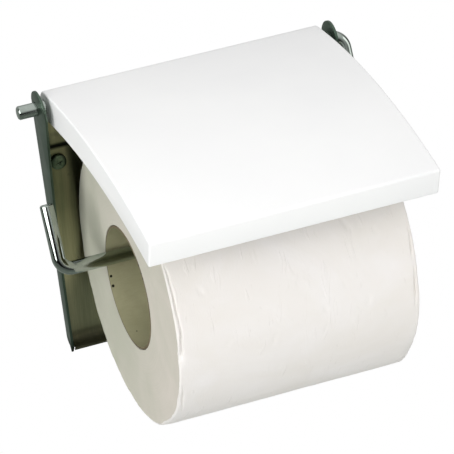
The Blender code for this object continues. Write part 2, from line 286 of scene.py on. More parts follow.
def place(x, forward, up):
    """A point drawn in (forward, up) from the hinge axis, in the row frame."""
    return Vector((x, HINGE.y - forward, HINGE.z + up))


def arc(centre, radius, start, end, steps):
    points = []
    for i in range(steps + 1):
        angle = math.radians(start + (end - start) * i / steps)
        points.append(centre + radius * Vector((math.cos(angle), math.sin(angle))))
    return points


def finish_mesh(name, bm, materials, sharp=40):
    mesh = bpy.data.meshes.new(name)
    bm.to_mesh(mesh)
    bm.free()
    mesh.shade_smooth()
    mesh.set_sharp_from_angle(angle=math.radians(sharp))
    obj = bpy.data.objects.new(name, mesh)
    for mat in materials:
        mesh.materials.append(mat)
    bpy.context.scene.collection.objects.link(obj)
    return obj


def bridge(bm, ring, following):
    """Quads between two closed rings of the same length."""
    for k in range(len(ring)):
        j = (k + 1) % len(ring)
        bm.faces.new((ring[k], ring[j], following[j], following[k]))


def freeze(obj):
    """Applies the object's modifiers."""
    graph = bpy.context.evaluated_depsgraph_get()
    mesh = bpy.data.meshes.new_from_object(obj.evaluated_get(graph), depsgraph=graph)
    obj.modifiers.clear()
    obj.data = mesh


def cylinder_cutter(centre, radius, half_length, axis, sides=48):
    bm = bmesh.new()
    turn = Matrix.Rotation(math.pi / 2, 4, "Y" if axis == "X" else "X")
    bmesh.ops.create_cone(bm, cap_ends=True, segments=sides, radius1=radius, radius2=radius,
                          depth=2 * half_length, matrix=Matrix.Translation(centre) @ turn)
    return bm


def cut(obj, bm):
    """Cuts a closed bmesh out of the object at once."""
    tool = finish_mesh("cutter", bm, [])
    mod = obj.modifiers.new("cut", "BOOLEAN")
    mod.operation = "DIFFERENCE"
    mod.solver = "EXACT"
    mod.object = tool
    freeze(obj)
    bpy.data.objects.remove(tool, do_unlink=True)


def soften(obj, width, angle, clamp):
    """Bevels the edges sharper than the angle. Clamping would collapse the thin sheet's rims."""
    mod = obj.modifiers.new("softened edges", "BEVEL")
    mod.width = width
    mod.segments = 2
    mod.limit_method = "ANGLE"
    mod.angle_limit = math.radians(angle)
    mod.use_clamp_overlap = clamp
    freeze(obj)
    obj.data.shade_smooth()
    obj.data.set_sharp_from_angle(angle=math.radians(50))


# --- Material helpers ---------------------------------------------------------------------------

class Nodes:
    """A short way to write a Principled node tree."""

    def __init__(self, name):
        self.material = bpy.data.materials.new(name)
        self.material.use_nodes = True
        self.tree = self.material.node_tree
        self.shader = self.tree.nodes["Principled BSDF"]
        self.position = self.add("ShaderNodeTexCoord").outputs["Object"]

    def add(self, kind, inputs=None, **settings):
        node = self.tree.nodes.new(kind)
        for key, value in settings.items():
            setattr(node, key, value)
        for key, value in (inputs or {}).items():
            self.feed(node.inputs[key], value)
        return node

    def feed(self, socket, value):
        if isinstance(value, bpy.types.NodeSocket):
            self.tree.links.new(value, socket)
        else:
            socket.default_value = value

    def set(self, **values):
        for key, value in values.items():
            self.feed(self.shader.inputs[key.replace("_", " ")], value)

    def split(self, vector):
        return self.add("ShaderNodeSeparateXYZ", {0: vector}).outputs

    def stretched(self, scale, vector=None):
        node = self.add("ShaderNodeMapping", {"Vector": vector or self.position, "Scale": scale})
        return node.outputs["Vector"]

    def noise(self, scale, detail, rough, vector=None, distortion=0.0):
        node = self.add("ShaderNodeTexNoise",
                        {"Vector": vector or self.position, "Scale": scale, "Detail": detail,
                         "Roughness": rough, "Distortion": distortion})
        return node.outputs["Fac"]

    def remap(self, value, low, high, out_low=0.0, out_high=1.0):
        node = self.add("ShaderNodeMapRange", {"Value": value, "From Min": low, "From Max": high,
                                               "To Min": out_low, "To Max": out_high})
        return node.outputs["Result"]

    def mix(self, factor, first, second):
        node = self.add("ShaderNodeMix", {0: factor, 6: first, 7: second}, data_type="RGBA")
        return node.outputs[2]

    def math(self, operation, first, second=0.0):
        return self.add("ShaderNodeMath", {0: first, 1: second}, operation=operation).outputs[0]

    def vector_math(self, operation, **vectors):
        """Takes first and, for most operations, second."""
        inputs = {i: vectors[key] for i, key in enumerate(("first", "second")) if key in vectors}
        return self.add("ShaderNodeVectorMath", inputs, operation=operation).outputs

    def bump(self, height, distance, strength, normal=None):
        node = self.add("ShaderNodeBump",
                        {"Height": height, "Distance": distance, "Strength": strength})
        if normal is not None:
            self.feed(node.inputs["Normal"], normal)
        return node.outputs["Normal"]


def pressed_steel():
    """Dull plated sheet: olive web with painted shade and light, flanges tinted blue-green as a
    painted reflection, rolling grain and handling marks.
    """
    n = Nodes("pressed_steel")
    grain = n.noise(1.0, 4.0, 0.6, n.stretched((2600.0, 60.0, 60.0)))
    smudge = n.noise(42.0, 4.0, 0.6, distortion=0.8)
    drift = n.noise(1.0, 2.0, 0.5, n.stretched((150.0, 20.0, 14.0)))
    facing = n.split(n.add("ShaderNodeTexCoord").outputs["Normal"])[0]
    across, depth, up = n.split(n.position)
    outboard = n.math("ABSOLUTE", across)

    # The web: painted shade in its upper middle, where the lid and roll shadow it, and painted
    # light towards the foot
    olive = n.mix(n.remap(drift, 0.35, 0.65), *SHEET_OLIVE)
    upper = n.remap(up, *(HINGE.z - drop for drop in PALE_DROPS))
    # painted shade, strongest in the upper middle next to the roll
    shade = n.math("MULTIPLY", upper, n.remap(outboard, *SHADE_EDGE, 0.6, 0.0))
    olive = n.mix(shade, olive, SHEET_SHADE)
    # painted light: the web is paler towards the foot
    olive = n.mix(n.remap(upper, 0.0, 1.0, 0.4, 0.0), olive, SHEET_PAINTED_LIGHT)

    # Painted reflection: the flanges, their front rims and faces turned sideways take a blue-green
    # tint for what they reflect
    reflected_teal = n.mix(n.remap(smudge, 0.35, 0.7), *SHEET_REFLECTED_TEAL)
    rim = n.math("MULTIPLY", n.math("GREATER_THAN", outboard, FOOT_HALF_WIDTH - RIM_BREADTH),
                 n.math("LESS_THAN", depth, -RIM_DEPTH))
    side = n.math("MAXIMUM", rim, n.remap(n.math("ABSOLUTE", facing), 0.35, 0.85))
    tone = n.mix(side, olive, reflected_teal)

    # Painted shadow in the crease, but not on the flanges, and along the foot; the same mask also
    # roughens the sheet
    crease = n.math("ABSOLUTE", n.math("SUBTRACT", up, HINGE.z - CREASE_DROP))
    shadow_mask = n.math("MULTIPLY", n.remap(crease, *CREASE_SHADOW, 0.95, 0.0),
                    n.remap(outboard, *CREASE_END, 1.0, 0.0))
    foot = HINGE.z - PLATE_DROP
    foot_shadow = n.remap(up, *(foot + rise for rise in FOOT_SHADOW), 0.7, 0.0)
    shadow_mask = n.math("MAXIMUM", shadow_mask, foot_shadow)
    shadowed_tone = n.mix(shadow_mask, tone, SHEET_SHADOW)

    n.set(Base_Color=n.mix(n.remap(grain, 0.35, 0.8, 0.0, 0.3), shadowed_tone, SHEET_GRAIN), Metallic=1.0)
    dull = n.math("ADD", n.remap(smudge, 0.3, 0.75, 0.24, 0.36),
                  n.remap(grain, 0.3, 0.7, 0.0, 0.06))
    n.set(Roughness=n.math("ADD", dull, n.math("MULTIPLY", shadow_mask, 0.4)))
    n.set(Normal=n.bump(grain, 0.00001, 0.4, n.bump(smudge, 0.0002, 0.25)))
    return n.material


def chrome():
    """Bright plating with a faint haze and fine scratches along x, like the wire's long legs."""
    n = Nodes("chrome_wire")
    haze = n.noise(160.0, 3.0, 0.6)
    scratch = n.noise(1.0, 5.0, 0.7, n.stretched((300.0, 2600.0, 2600.0)))
    n.set(Base_Color=n.mix(n.remap(haze, 0.35, 0.75), *CHROME), Metallic=1.0)
    n.set(Roughness=n.math("ADD", n.remap(haze, 0.3, 0.75, 0.07, 0.13),
                           n.remap(scratch, 0.55, 0.8, 0.0, 0.08)))
    n.set(Normal=n.bump(scratch, 0.000012, 0.3))
    return n.material


def plated_screw():
    n = Nodes("screw_steel")
    stain = n.noise(700.0, 4.0, 0.65)
    n.set(Base_Color=n.mix(n.remap(stain, 0.35, 0.7), *SCREW_PLATING), Metallic=1.0)
    n.set(Roughness=n.remap(stain, 0.3, 0.7, 0.28, 0.45))
    n.set(Normal=n.bump(stain, 0.00003, 0.4))
    return n.material


def white_paint():
    """Satin paint on fibreboard: a fine orange peel and a very faint roller mottle."""
    n = Nodes("white_paint")
    peel = n.noise(900.0, 2.0, 0.5)
    mottle = n.noise(26.0, 3.0, 0.5)
    n.set(Base_Color=n.mix(n.remap(mottle, 0.3, 0.7), *PAINT))
    n.set(Roughness=n.remap(mottle, 0.3, 0.7, 0.34, 0.42))
    n.set(Normal=n.bump(peel, 0.00003, 0.35))
    n.set(Coat_Weight=0.15, Coat_Roughness=0.3)
    return n.material


def tissue():
    """The roll's outer turn: soft crepe, cloudy tint and sparse short creases round the roll."""
    n = Nodes("tissue_paper")
    wrap = n.add("ShaderNodeUVMap", uv_map="wrap").outputs["UV"]
    crepe = n.noise(1.0, 3.0, 0.6, n.stretched((420.0, 1500.0, 1.0), wrap))
    cloud = n.noise(30.0, 4.0, 0.6, distortion=0.8)
    fine = n.noise(1.0, 2.0, 0.55, n.stretched((130.0, 520.0, 1.0), wrap), distortion=0.7)
    coarse = n.noise(1.0, 2.0, 0.5, n.stretched((55.0, 210.0, 1.0), wrap), distortion=1.1)
    patches = n.noise(1.0, 2.0, 0.5, n.stretched((26.0, 34.0, 1.0), wrap))
    nicks = n.math("MULTIPLY", n.remap(fine, 0.66, 0.8), n.remap(patches, 0.42, 0.62))
    folds = n.remap(coarse, 0.62, 0.8)
    tint = n.mix(n.remap(cloud, 0.35, 0.68), *TISSUE)
    # painted shade darkens the small nicks
    n.set(Base_Color=n.mix(n.math("MULTIPLY", nicks, 0.2), tint, TISSUE_NICK_SHADE))
    n.set(Roughness=n.remap(cloud, 0.3, 0.7, 0.9, 1.0))
    n.set(Sheen_Weight=0.15, Sheen_Roughness=0.6, Specular_IOR_Level=0.15)
    soft = n.bump(cloud, 0.0012, 0.22)
    folded = n.bump(folds, 0.0004, 0.5, soft)
    nicked = n.bump(nicks, 0.0002, 0.5, folded)
    n.set(Normal=n.bump(crepe, 0.00009, 0.35, nicked))
    return n.material


def tissue_edge():
    """The roll's end: the cut edges of the wound turns, almost smooth, with painted light at the
    front and painted shade towards the wall.
    """
    n = Nodes("tissue_edge")
    axis = (0.0, ROLL_AXIS.y, ROLL_AXIS.z)
    offset = n.vector_math("SUBTRACT", first=n.position, second=axis)[0]
    flat = n.vector_math("MULTIPLY", first=offset, second=(0.0, 1.0, 1.0))[0]
    radius = n.vector_math("LENGTH", first=flat)["Value"]
    scaled = n.math("MULTIPLY", radius, BANDS_PER_METRE)
    turns = n.add("ShaderNodeCombineXYZ", {0: scaled}).outputs[0]
    bands = n.noise(1.0, 4.0, 0.65, turns)
    blotch = n.noise(34.0, 3.0, 0.6, distortion=0.5)
    fibre = n.noise(1400.0, 3.0, 0.6)
    depth = n.split(n.position)[1]
    # painted light at the front and painted shade towards the wall, plus random blotches
    light_and_blotch = n.math("ADD", n.remap(depth, *END_LIGHT_DEPTHS, 0.65, 0.0),
                    n.remap(blotch, 0.35, 0.68, 0.0, 0.4))
    shade = n.mix(light_and_blotch, *ROLL_END)
    n.set(Base_Color=n.mix(n.remap(bands, 0.35, 0.75, 0.0, 0.14), shade, ROLL_END_BAND))
    n.set(Roughness=n.remap(fibre, 0.3, 0.7, 0.92, 1.0))
    n.set(Sheen_Weight=0.1, Sheen_Roughness=0.6, Specular_IOR_Level=0.12)
    uneven = n.bump(bands, 0.00012, 0.35, n.bump(blotch, 0.0012, 0.25))
    n.set(Normal=n.bump(fibre, 0.00007, 0.3, uneven))
    return n.material


def cardboard(name, tints, marks):
    """Spiral wound grey board with fibres; marks are (point, radius) of dark resin specks."""
    n = Nodes(name)
    fibre = n.noise(1.0, 4.0, 0.65, n.stretched((500.0, 1900.0, 1900.0)))
    patch = n.noise(55.0, 3.0, 0.6)
    flecks = n.add("ShaderNodeTexVoronoi", {"Vector": n.position, "Scale": 120.0})
    tone = n.mix(n.remap(patch, 0.3, 0.7), *tints)
    tone = n.mix(n.remap(fibre, 0.35, 0.75, 0.0, 0.14), tone, BOARD_FIBRE)
    tone = n.mix(n.remap(flecks.outputs["Distance"], 0.03, 0.05, 0.8, 0.0), tone, BOARD_FLECK)
    for point, radius in marks:
        away = n.vector_math("DISTANCE", first=n.position, second=point)["Value"]
        tone = n.mix(n.remap(away, radius * 0.8, radius * 1.2, 1.0, 0.0), tone, BOARD_SPECK)
    n.set(Base_Color=tone, Specular_IOR_Level=0.25)
    n.set(Roughness=n.remap(fibre, 0.3, 0.7, 0.82, 0.95))
    n.set(Normal=n.bump(fibre, 0.00006, 0.2))
    return n.material


# --- Wall plate ---------------------------------------------------------------------------------

def half_width(up):
    return TOP_HALF_WIDTH + (TOP_HALF_WIDTH - FOOT_HALF_WIDTH) * up / PLATE_DROP


def flange_front(up):
    rise = 1 + up / PLATE_DROP
    return FLANGE_DEPTH_AT_FOOT + FLANGE_DEPTH_GAIN * rise ** 2 - AXIS_DEPTH


def web_lines():
    """(forward, up, bead) of the sheet's back from the web's top to the lip."""
    lines = [(-AXIS_DEPTH, -drop * MM, bead * MM) for drop, bead in WEB_ROWS]
    centre = Vector((FOOT_BEND - AXIS_DEPTH, FOOT_BEND - PLATE_DROP))
    lines += [(point.x, point.y, 0.0) for point in arc(centre, FOOT_BEND, 180, 270, 8)]
    lines.append((FLANGE_DEPTH_AT_FOOT - AXIS_DEPTH, -PLATE_DROP, 0.0))
    return lines


def flange_outline():
    """The flange's free edge, from its tip below the lip up to the ear and round it."""
    lip_forward = FLANGE_DEPTH_AT_FOOT - AXIS_DEPTH
    edge = [Vector((lip_forward - FLANGE_TIP_BACK, -PLATE_DROP - FLANGE_TIP_DROP))]
    foot_top = -PLATE_DROP + SHEET
    for i in range(FLANGE_STEPS + 1):
        up = foot_top + (-EAR_ROOT_DROP - foot_top) * i / FLANGE_STEPS
        edge.append(Vector((flange_front(up), up)))
    edge += arc(EAR_CENTRE, EAR_RADIUS, -18, 165, 30)
    edge.append(Vector((-EAR_REAR, 0)))
    return edge


def build_plate(steel):
    """One folded sheet: web, foot and flanges share their bend lines, which are then rounded."""
    bm = bmesh.new()
    rows = []
    for forward, up, bead in web_lines():
        width = half_width(up)
        row = []
        for inset, share in WEB_COLUMNS:
            row.append(bm.verts.new(place(-width + inset * MM, forward + share * bead, up)))
        for inset, share in reversed(WEB_COLUMNS):
            row.append(bm.verts.new(place(width - inset * MM, forward + share * bead, up)))
        rows.append(row)
    for upper, lower in zip(rows, rows[1:]):
        notch = 1 if lower is rows[-1] else 0       # relief between the lip and each flange
        for k in range(notch, len(upper) - 1 - notch):
            bm.faces.new((upper[k], lower[k], lower[k + 1], upper[k + 1]))
    lip = rows[-1]
    for corner, inner, side in ((lip[0], lip[1], -1), (lip[-1], lip[-2], 1)):
        inner.co.x = side * (FOOT_HALF_WIDTH - LIP_INSET)
        bm.verts.remove(corner)
    edge = flange_outline()
    bends = []
    for side, index in ((-1, 0), (1, -1)):
        line = [row[index] for row in rows[:-1]]
        rim = [bm.verts.new(place(side * half_width(point.y), point.x, point.y))
               for point in edge]
        loop = line + rim
        bm.faces.new(loop if side > 0 else list(reversed(loop)))
        bends += [bm.edges.get(pair) for pair in zip(line, line[1:])]
    bmesh.ops.recalc_face_normals(bm, faces=bm.faces)
    bmesh.ops.bevel(bm, geom=bends, offset=CORNER_BEND, segments=5, profile=0.5,
                    affect="EDGES", clamp_overlap=True)
    plate = finish_mesh("plate_sheet", bm, [steel])
    solid = plate.modifiers.new("sheet", "SOLIDIFY")
    solid.thickness = SHEET
    solid.offset = -1
    solid.use_even_offset = True
    solid.use_quality_normals = True
    freeze(plate)
    soften(plate, RIM_SOFTNESS, angle=60, clamp=False)
    cut(plate, cylinder_cutter(HINGE, BORE_RADIUS, BORE_REACH, "X"))
    for x in (SCREW_X, -SCREW_X):
        hole = Vector((x, 0, SCREW_UP))
        cut(plate, cylinder_cutter(hole, SCREW_HOLE_RADIUS, SCREW_HOLE_REACH, "Y", 32))
    plate.data.set_sharp_from_angle(angle=math.radians(50))
    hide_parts("wall_plate")
    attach(plate, "wall_bracket")


# --- Screws -------------------------------------------------------------------------------------

def screw_profile():
    """(y, radius) of the screw from the middle of its head's front to the end of its shank."""
    head_radius = (SCREW_HIGH.x - SCREW_LOW.x) / 2
    front, back = SCREW_LOW.y, -(SHEET + SCREW_STANDOFF)
    profile = [(front, 0.0)]
    for i in range(1, SCREW_DOME_STEPS + 1):
        share = i / SCREW_DOME_STEPS
        drop = SCREW_DOME * (1 - math.sqrt(1 - (DOME_CURVE * share) ** 2))
        profile.append((front + drop, head_radius * share * DOME_WIDTH))
    return profile + [(front + SCREW_DOME + SCREW_BRIM, head_radius),
                      (back - SCREW_CHAMFER, head_radius), (back, head_radius - SCREW_CHAMFER),
                      (back, SHANK_RADIUS), (SCREW_HIGH.y, SHANK_RADIUS), (SCREW_HIGH.y, 0.0)]


def cross_cutter(centre, turn):
    """The cross recess, turned by so many degrees and narrower towards its bottom."""
    bm = bmesh.new()
    taper = CROSS_HALF_WIDTH * CROSS_TAPER
    quarter = [Vector((CROSS_REACH, taper)), Vector((CROSS_HALF_WIDTH, CROSS_HALF_WIDTH)),
               Vector((taper, CROSS_REACH))]
    outline = [Matrix.Rotation(math.radians(90 * k + turn), 2) @ corner
               for k in range(4) for corner in quarter]
    ends = [[bm.verts.new(centre + Vector((a * scale, SCREW_LOW.y + depth, b * scale)))
             for a, b in outline] for depth, scale in CROSS_ENDS]
    bm.faces.new(ends[0])
    bm.faces.new(list(reversed(ends[1])))
    for i in range(len(outline)):
        j = (i + 1) % len(outline)
        bm.faces.new((ends[0][i], ends[1][i], ends[1][j], ends[0][j]))
    bmesh.ops.recalc_face_normals(bm, faces=bm.faces)
    return bm


def build_screw(name, x, turn, steel):
    """A domed head with a cross recess and a short stretch of shank."""
    centre = Vector((x, 0, SCREW_UP))
    bm = bmesh.new()
    rings = []
    for y, radius in screw_profile():
        ring = []
        for i in range(SCREW_SIDES if radius else 1):
            angle = 2 * math.pi * i / SCREW_SIDES
            offset = Vector((radius * math.cos(angle), y, radius * math.sin(angle)))
            ring.append(bm.verts.new(centre + offset))
        rings.append(ring)
    for ring, following in zip(rings, rings[1:]):
        for i in range(SCREW_SIDES):
            j = (i + 1) % SCREW_SIDES
            corners = [ring[i % len(ring)], ring[j % len(ring)],
                       following[j % len(following)], following[i % len(following)]]
            bm.faces.new(list(dict.fromkeys(corners)))
    bmesh.ops.recalc_face_normals(bm, faces=bm.faces)
    screw = finish_mesh("screw_head_" + name, bm, [steel])
    cut(screw, cross_cutter(centre, turn))
    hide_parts("wall_screw_" + name)
    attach(screw, "wall_bracket")


# --- Wire ---------------------------------------------------------------------------------------

def rounded_path(corners, radius, steps=14):
    path = [corners[0]]
    for before, corner, after in zip(corners, corners[1:], corners[2:]):
        back = (before - corner).normalized()
        on = (after - corner).normalized()
        centre = corner + radius * (back + on)
        for i in range(steps + 1):
            turn = math.pi / 2 * i / steps
            path.append(centre - radius * (on * math.cos(turn) + back * math.sin(turn)))
    path.append(corners[-1])
    return path


def wire_stations(down):
    """(point, radius) along the wire, from the hinge pin's end to the upturned free end."""
    right = WIRE_HIGH.x - WIRE_RADIUS
    corners = [Vector((WIRE_LOW.x, HINGE.y, HINGE.z)),
               Vector((right, HINGE.y, HINGE.z)),
               Vector((right, HINGE.y, HINGE.z)) + HANGER_DROP * down,
               Vector((FREE_END_X, HINGE.y, HINGE.z)) + HANGER_DROP * down,
               Vector((FREE_END_X, HINGE.y, HINGE.z)) + (HANGER_DROP - FREE_END_LENGTH) * down]
    path = rounded_path(corners, WIRE_BEND)
    first = (path[1] - path[0]).normalized()
    last = (path[-2] - path[-1]).normalized()
    chamfered = WIRE_RADIUS - END_CHAMFER
    stations = [(path[0], chamfered), (path[0] + END_CHAMFER * first, WIRE_RADIUS)]
    stations += [(point, WIRE_RADIUS) for point in path[1:-1]]
    return stations + [(path[-1] + END_CHAMFER * last, WIRE_RADIUS), (path[-1], chamfered)]


def build_wire(metal):
    down = Vector((0, -math.cos(HANGER_ANGLE), -math.sin(HANGER_ANGLE)))
    stations = wire_stations(down)
    across = down.cross(Vector((1, 0, 0)))
    bm = bmesh.new()
    rings = []
    for i, (point, radius) in enumerate(stations):
        ahead = stations[min(i + 1, len(stations) - 1)][0] - point
        behind = point - stations[max(i - 1, 0)][0]
        tangent = (ahead.normalized() + behind.normalized()).normalized()
        outward = tangent.cross(across)
        ring = []
        for k in range(WIRE_SIDES):
            angle = 2 * math.pi * k / WIRE_SIDES
            spoke = outward * math.cos(angle) + across * math.sin(angle)
            ring.append(bm.verts.new(point + radius * spoke))
        rings.append(ring)
    for ring, following in zip(rings, rings[1:]):
        bridge(bm, ring, following)
    bm.faces.new(rings[0])
    bm.faces.new(rings[-1])
    bmesh.ops.recalc_face_normals(bm, faces=bm.faces)
    wire = finish_mesh("wire_rod", bm, [metal], sharp=30)
    soften(wire, END_SOFTNESS, angle=30, clamp=True)
    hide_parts("wire_hanger")
    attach(wire, "hanger")


# --- Lid ----------------------------------------------------------------------------------------

def lid_point(angle, offset):
    return LID_CENTRE + (LID_RADIUS + offset) * Vector((math.sin(angle), math.cos(angle)))


def lid_outline():
    """Points of the board's section, their outward directions and the side edge's rounding."""
    span = LID_FRONT_ANGLE - LID_REAR_ANGLE - LID_FRONT_FILLET / LID_RADIUS
    slopes = [LID_REAR_ANGLE + span * i / LID_STEPS for i in range(LID_STEPS + 1)]
    slope = math.degrees(LID_FRONT_ANGLE)
    inner = LID_HALF_THICKNESS - LID_FRONT_FILLET
    front = slopes[-1]
    points = []
    for a in slopes:
        out = Vector((math.sin(a), math.cos(a)))
        points.append((lid_point(a, LID_HALF_THICKNESS), out, LID_EDGE))
    for centre, start, end in ((lid_point(front, inner), 90 - slope, -slope),
                               (lid_point(front, -inner), -slope, -90 - slope)):
        for i in range(LID_FILLET_STEPS + 1):
            angle = math.radians(start + (end - start) * i / LID_FILLET_STEPS)
            out = Vector((math.cos(angle), math.sin(angle)))
            points.append((centre + LID_FRONT_FILLET * out, out, LID_EDGE))
    for a in reversed(slopes):
        out = Vector((-math.sin(a), -math.cos(a)))
        points.append((lid_point(a, -LID_HALF_THICKNESS), out, LID_EDGE))
    rear = math.degrees(LID_REAR_ANGLE)
    for i in range(1, LID_REAR_STEPS):
        angle = math.radians(-90 - rear - 180 * i / LID_REAR_STEPS)
        out = Vector((math.cos(angle), math.sin(angle)))
        edge = LID_EDGE + (LID_REAR_EDGE - LID_EDGE) * math.sin(math.pi * i / LID_REAR_STEPS)
        points.append((LID_HALF_THICKNESS * out, out, edge))
    kept = [points[0]]
    for point in points[1:]:
        if (point[0] - kept[-1][0]).length > LID_MERGE:
            kept.append(point)
    return kept


def build_lid(paint):
    outline = lid_outline()
    half = LID_HIGH.x
    bm = bmesh.new()
    rings = []
    for side in (-1, 1):
        for i in range(LID_EDGE_STEPS + 1)[::side]:
            turn = math.pi / 2 * i / LID_EDGE_STEPS
            ring = []
            for point, out, edge in outline:
                flat = point - out * edge * (1 - math.cos(turn))
                x = side * (half - edge * (1 - math.sin(turn)))
                ring.append(bm.verts.new(place(x, flat.x, flat.y)))
            rings.append(ring)
    for ring, following in zip(rings, rings[1:]):
        bridge(bm, ring, following)
    bm.faces.new(rings[0])
    bm.faces.new(rings[-1])
    bmesh.ops.recalc_face_normals(bm, faces=bm.faces)
    lid = finish_mesh("lid_board", bm, [paint])
    cut(lid, cylinder_cutter(HINGE, BORE_RADIUS, BORE_REACH, "X"))
    lid.data.shade_smooth()
    lid.data.set_sharp_from_angle(angle=math.radians(40))
    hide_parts("lid")
    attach(lid, "lid_board")


# --- Roll and core ------------------------------------------------------------------------------

def wave(x, y, z, seed):
    return noise.noise(Vector((x, y, z + SEED_SPACING * seed)))


def window(value, low, high):
    """1 in the middle of the range, falling smoothly to 0 at its ends."""
    if not low < value < high:
        return 0.0
    return math.sin(math.pi * (value - low) / (high - low)) ** 0.7


def outer_sink(angle, x, low, high):
    """How far the outer turn lies under the CAD radius.

    Adds up the spiral with its free edge, dents, creases, pinched rims and folded turns.
    """
    turn = ((angle - TAIL_ANGLE) % (2 * math.pi)) / (2 * math.pi)
    sink = SKIN + TURN_THICKNESS * turn
    c, s = math.cos(angle), math.sin(angle)
    sink += DENT * max(0.0, 0.35 + wave(x * 26, c * 2.2, s * 2.2, 1))
    sink += RIPPLE * abs(wave(x * 95, c * 7.5, s * 7.5, 2))
    degrees = math.degrees(angle) % 360
    for start, end, x_start, x_end, width, depth in CREASES:
        share = window(degrees, start, end)
        if share:
            middle = (x_start + (x_end - x_start) * (degrees - start) / (end - start)) * MM
            away = (x - middle) / (width * MM)
            ridge = RIDGE * math.exp(-(away - RIDGE_OFFSET) ** 2)
            sink += CREASE_GAIN * depth * MM * share * (math.exp(-away * away) - ridge)
    for side, middle, half, reach, depth in RIM_NOTCHES:
        off = (degrees - middle) / half
        if abs(off) < 3:
            away = (x - low if side < 0 else high - x) / (reach * MM)
            sink += depth * MM * math.exp(-off * off - away * away)
    for side, start, end, inset, drift, width, depth in RIM_FOLDS:
        share = window(degrees, start, end)
        if share:
            edge = low if side < 0 else high
            inset += (drift * (degrees - start) / (end - start)
                      + FOLD_WOBBLE * wave(c * 9, s * 9, side, 6))
            away = (abs(x - edge) / MM - inset) / width
            sink += depth * MM * share * math.exp(-away * away)
    return max(LEAST_SKIN, sink)


def rim_round(angle, side):
    """Size of the rim's rounding: small nearly all round, with a few soft places."""
    c, s = math.cos(angle), math.sin(angle)
    pinch = max(0.0, wave(c * 2.6, s * 2.6, side, 3) - 0.08)
    fine = abs(wave(c * 14, s * 14, side, 4))
    return RIM_ROUND * (1.2 + 4.5 * pinch + 1.4 * fine)


def end_dent(radius, c, s, share, seed):
    """Soft unevenness of the wound turns at an end."""
    hollow = max(0.0, 0.25 + wave(radius * 130, c * 1.3, s * 1.3, seed))
    broad = END_DENT * hollow * min(1, share * 8)
    return broad + END_RIPPLE * abs(wave(radius * 2600, c * 3, s * 3, seed + 1))


def roll_stations(low, high):
    """x positions along the roll, close together near both ends."""
    fine = int(FINE_REACH / FINE_STEP)
    start = [low + FINE_REACH * i / fine for i in range(fine)]
    length = high - low - 2 * FINE_REACH
    coarse = int(length / COARSE_STEP)
    middle = [low + FINE_REACH + length * i / coarse for i in range(coarse + 1)]
    return start + middle + [low + high - x for x in reversed(start)]


def spun(bm, x, radius, c, s):
    """A vertex at this radius from the roll's axis, in the direction (c, s)."""
    return bm.verts.new(Vector((x, ROLL_AXIS.y + radius * c, ROLL_AXIS.z + radius * s)))


def build_roll(paper, edge_paper):
    low, high = ROLL_LOW.x, ROLL_HIGH.x
    outer = (ROLL_HIGH.z - ROLL_LOW.z) / 2
    inner = (CORE_HIGH.z - CORE_LOW.z) / 2 + CORE_GAP
    stations = roll_stations(low, high)
    bm = bmesh.new()
    wrap = bm.loops.layers.uv.new("wrap")
    columns = []
    for i in range(ROLL_SIDES):
        angle = 2 * math.pi * i / ROLL_SIDES
        c, s = math.cos(angle), math.sin(angle)
        left, right = rim_round(angle, -1), rim_round(angle, 1)
        column = []
        for k in range(END_STEPS):                  # left end, from the bore outwards
            radius = inner + (outer - left - inner - END_MARGIN) * k / END_STEPS
            column.append((low + SKIN + end_dent(radius, c, s, k / END_STEPS, 5), radius))
        for x in stations:                          # outer turn, with both rims rounded off
            sink = outer_sink(angle, x, low, high)
            for distance, size in ((x - low, left), (high - x, right)):
                if distance < size:
                    rest = 1 - distance / size
                    sink += size * (1 - math.sqrt(max(0.0, 1 - rest * rest)))
            column.append((x, outer - sink))
        for k in range(END_STEPS - 1, -1, -1):      # right end, inwards to the bore
            radius = inner + (outer - right - inner - END_MARGIN) * k / END_STEPS
            column.append((high - SKIN - end_dent(radius, c, s, k / END_STEPS, 7), radius))
        columns.append([spun(bm, x, radius, c, s) for x, radius in column])
    count = len(columns[0])
    for i, column in enumerate(columns):
        following = columns[(i + 1) % ROLL_SIDES]
        for k in range(count):
            j = (k + 1) % count
            face = bm.faces.new((column[k], column[j], following[j], following[k]))
            face.material_index = 0 if END_STEPS <= k < count - END_STEPS - 1 else 1
            for loop, step in zip(face.loops, (0, 0, 1, 1)):
                around = (i + step) * 2 * math.pi * outer / ROLL_SIDES
                loop[wrap].uv = (around, loop.vert.co.x)
    bmesh.ops.recalc_face_normals(bm, faces=bm.faces)
    roll = finish_mesh("tissue_roll", bm, [paper, edge_paper], sharp=55)
    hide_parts("paper_roll")
    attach(roll, "roll")


def core_point(x, degrees, radius):
    """A point on the core, by its angle from the wall's side upwards."""
    angle = math.radians(degrees)
    return (x, ROLL_AXIS.y + radius * math.cos(angle), ROLL_AXIS.z + radius * math.sin(angle))


